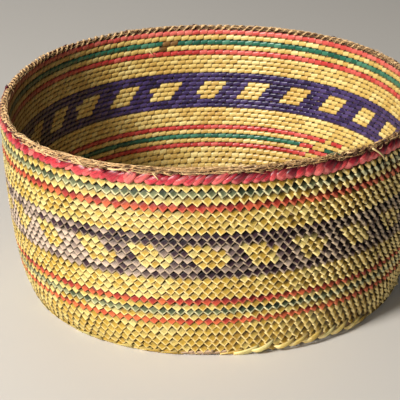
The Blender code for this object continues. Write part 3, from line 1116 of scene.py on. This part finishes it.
class BASKET_OT_base_weft(bpy.types.Operator):
    """Bind the fanned warps with rows below the base and on its floor"""

    bl_idname = "basket.base_weft"
    bl_label = "Base weft"

    def execute(self, context):
        hand = take_up(context, 41)
        bands = (
            ("base_weft_under_outer", REST_END, BAND_SPLIT),
            ("base_weft_under_inner", down_to(BAND_SPLIT), WINDOW_RADIUS),
            ("floor_weft_outer", FOOT_MIDDLE, BAND_SPLIT),
            ("floor_weft_inner", down_to(BAND_SPLIT), WINDOW_RADIUS),
        )
        for node, first_down, last_radius in bands:
            edges, counts = base_rows(first_down, last_radius)
            rows = [(row + 1, Hand(hand.rng, count, hand.uneven)) for row, count in enumerate(counts)]
            if "under" in node:
                strands = gather([outer_stitches(row, edges[row], BASE_ROW, worker) for row, worker in rows])
                height = strands[0][..., 2]
                height[:] = np.maximum(height + UNDER_LIFT, UNDER_GAP)
                material = "natural_outer"
            else:
                strands = gather([inner_bricks(row, edges, worker) for row, worker in rows])
                material = "natural_inner"
            dress(add_strands(f"{node}_rows", strands, (material,)), "natural_grass", node)
        return {"FINISHED"}


# The bark warps: their stations in wall, foot and base, their place and half width in stitches, where they
# start under the cord, and how far their depth strays
WALL_STATIONS = 9
FOOT_STATIONS = 4
BASE_RADII = np.array((60, 48, 38, 30, 22)) * MM
WARP_SHIFT = 0.25
WARP_WIDTH = 0.42
WARP_START = CORD_SEAT + 0.2 * MM
WARP_STRAY = 0.03 * MM

# The plait: strips each way, their half width in pitches, their swing up and down, and their half thickness
STRIPS = 12
STRIP_WIDTH = 0.46
STRIP_SWING = 0.30 * MM
STRIP_THICK = 0.2 * MM

# Corners of the section of a strip: across it, and through it from 0 to 1
STRIP_ASIDE = by_ring(-1, 1, 1, -1)
STRIP_THROUGH = by_ring(0, 0, 1, 1)


def wall_warps(hand):
    """Flat strips that follow the face from under the cord to the plait, one behind every stitch."""
    wall = np.linspace(WARP_START, WALL_HEIGHT, WALL_STATIONS)
    foot = np.linspace(WALL_HEIGHT, FOOT_END, FOOT_STATIONS)[1:]
    down = by_station(*wall, *foot, *down_to(BASE_RADII))
    depth = WARP_FACE + (WARP_BACK - WARP_FACE) * STRIP_THROUGH + hand.stray(WARP_STRAY)
    return place(stitch_angle(hand.numbers() + WARP_SHIFT + WARP_WIDTH * STRIP_ASIDE), down, depth)


def plaited_square():
    """Two sets of strips that cross, each swinging over one and under one with a cosine of the way along."""
    pitch = PLAIT_SIDE / STRIPS
    stations = by_station(*np.linspace(0, STRIPS, 4 * STRIPS + 1))
    lane = np.arange(STRIPS)[:, None, None]
    way = (stations - STRIPS / 2) * pitch
    lift = STRIP_SWING * np.cos(math.pi * (stations - 0.5 + lane))
    side = (lane + 0.5 - STRIPS / 2) * pitch + STRIP_WIDTH * pitch * STRIP_ASIDE
    middle = (WARP_FACE + WARP_BACK) / 2
    rise = STRIP_THICK * (2 * STRIP_THROUGH - 1)
    way, side, lift = np.broadcast_arrays(way, side, lift)
    lengthwise = np.stack((way, side, middle + lift + rise), axis=-1)
    crosswise = np.stack((side, way, middle - lift + rise), axis=-1)[:, ::-1]
    return np.concatenate((lengthwise, crosswise))


class BASKET_OT_bark_warps(bpy.types.Operator):
    """Stand the bark warps between the two faces, and cross them in a plaited square in the base"""

    bl_idname = "basket.bark_warps"
    bl_label = "Bark warps"

    def execute(self, context):
        hand = take_up(context, 53)
        warps = wall_warps(hand)
        for name, points, nodes in (("wall", warps, ("bark_warps",)), ("plait", plaited_square(), ())):
            count, length = points.shape[:2]
            along = by_station(*np.linspace(0, length / 3, length))
            chance = hand.rng.random((count, 1, 1))
            strands = (points, along, STRIP_ASIDE / 2 + 0.5, chance)
            dress(add_strands(f"bark_warps_{name}", strands, ("bark",)), "bark", *nodes)
        return {"FINISHED"}


# The stage: half the side of the floor and its ticks, each light's place, size and colour, the height that
# the lights face, and the colour of the light from all round
FLOOR_SIDE = 3.0
FLOOR_TICKS = 9
LIGHTS = {
    "key": ((-0.61, -0.63, 0.68), 0.24, (1.0, 0.97, 0.93)),
    "fill": ((-0.10, -1.10, 0.60), 0.5, (0.95, 0.97, 1.0)),
    "back": ((-0.30, 0.95, 0.60), 0.6, (1.0, 0.98, 0.95)),
}
LIT_HEIGHT = 0.03
SKY = (0.93, 0.95, 1.0, 1)

# The camera's rise, pan, tilt and roll in degrees, its distance, and how far below the rim it is centred
CAMERA_TURNS = (19.16, -0.58, -5.36, -0.20)
CAMERA_AWAY = 428.6 * MM
CAMERA_DROP = 2.25 * MM


def add_floor(context, pale):
    """A level grid with a faintly mottled finish."""
    ticks = np.linspace(-FLOOR_SIDE, FLOOR_SIDE, FLOOR_TICKS)
    across, ahead = np.meshgrid(ticks, ticks)
    points = np.stack((across, ahead, np.zeros_like(across)), axis=-1).reshape(-1, 3)
    numbers = np.arange(across.size).reshape(across.shape)
    quads = np.stack((numbers[:-1, :-1], numbers[:-1, 1:], numbers[1:, 1:], numbers[1:, :-1]), axis=-1)
    mesh = bpy.data.meshes.new("floor")
    mesh.from_pydata(points.tolist(), [], quads.reshape(-1, 4).tolist())
    floor = bpy.data.objects.new("floor", mesh)
    context.scene.collection.objects.link(floor)
    sheet = Sheet("pale_floor")
    tone = sheet.noise(sheet.body(), 3.0, 3.0)
    colour = sheet.mix(tone * 0.3, pale, display(190, 185, 177))
    mesh.materials.append(sheet.finish(colour, 0.8, tone, 0.2 * MM, 0.1))


def add_light(context, name, where, size, power, colour):
    """A square soft light that faces the middle of the basket."""
    light = bpy.data.lights.new(name, "AREA")
    light.size = size
    light.energy = power
    light.color = colour
    holder = bpy.data.objects.new(name, light)
    context.scene.collection.objects.link(holder)
    holder.location = where
    away = holder.location - Vector((0, 0, LIT_HEIGHT))
    holder.rotation_euler = away.to_track_quat("Z", "Y").to_euler()


def add_camera(context, lens):
    """The viewer's place: in front and above, turned a little off the middle of the rim."""
    rise, pan, tilt, roll = np.radians(CAMERA_TURNS)
    aim = np.array((0, 0, WALL_TOP - CAMERA_DROP))
    spot = aim + CAMERA_AWAY * np.array((0, -math.cos(rise), math.sin(rise)))
    ahead = (aim - spot) / CAMERA_AWAY
    right = np.array((1.0, 0, 0))
    up = np.cross(right, ahead)
    ahead, right = turn_pair(ahead, right, pan)
    ahead, up = turn_pair(ahead, up, tilt)
    right, up = turn_pair(right, up, roll)
    camera = bpy.data.objects.new("camera", bpy.data.cameras.new("camera"))
    camera.data.lens = lens
    camera.data.sensor_width = 36
    camera.data.clip_start = 0.01
    context.scene.collection.objects.link(camera)
    turned = np.eye(4)
    turned[:3, :3] = np.column_stack((right, up, -ahead))
    turned[:3, 3] = spot
    camera.matrix_world = Matrix(turned.tolist())
    context.scene.camera = camera


class BASKET_OT_stage(bpy.types.Operator):
    """Set the floor, the lights and the camera"""

    bl_idname = "basket.stage"
    bl_label = "Stage"

    def execute(self, context):
        stage = context.scene.basket_stage
        add_floor(context, tuple(stage.floor))
        for name, (where, size, colour) in LIGHTS.items():
            add_light(context, name, where, size, getattr(stage, name), colour)
        world = context.scene.world or bpy.data.worlds.new("studio")
        context.scene.world = world
        world.use_nodes = True
        sky = world.node_tree.nodes["Background"]
        sky.inputs["Color"].default_value = SKY
        sky.inputs["Strength"].default_value = stage.sky
        context.scene.view_settings.view_transform = "Standard"
        add_camera(context, stage.lens)
        return {"FINISHED"}


STEPS = (
    BASKET_OT_outer_courses,
    BASKET_OT_inner_weft,
    BASKET_OT_rim_lashing,
    BASKET_OT_rim_cord,
    BASKET_OT_loose_ends,
    BASKET_OT_foot,
    BASKET_OT_base_weft,
    BASKET_OT_bark_warps,
    BASKET_OT_stage,
)


class BASKET_PT_weaving(bpy.types.Panel):
    """Steps that dress the basket, and what they take"""

    bl_idname = "BASKET_PT_weaving"
    bl_label = "Twined basket"
    bl_space_type = "VIEW_3D"
    bl_region_type = "UI"
    bl_category = "Basket"

    def draw(self, context):
        for step in STEPS:
            self.layout.operator(step.bl_idname)
        for group, made in SETTINGS.items():
            for name in made.__annotations__:
                self.layout.prop(getattr(context.scene, group), name)


SETTINGS = {"basket_colours": BasketColours, "basket_weave": BasketWeave, "basket_stage": BasketStage}
CLASSES = (*SETTINGS.values(), *STEPS, BASKET_PT_weaving)


def register():
    for made in CLASSES:
        bpy.utils.register_class(made)
    for group, made in SETTINGS.items():
        setattr(bpy.types.Scene, group, PointerProperty(type=made))


def unregister():
    for group in SETTINGS:
        delattr(bpy.types.Scene, group)
    for made in reversed(CLASSES):
        bpy.utils.unregister_class(made)


def main():
    register()
    for step in STEPS:
        name = step.bl_idname.split(".")[1]
        getattr(bpy.ops.basket, name)()


if __name__ == "__main__":
    main()
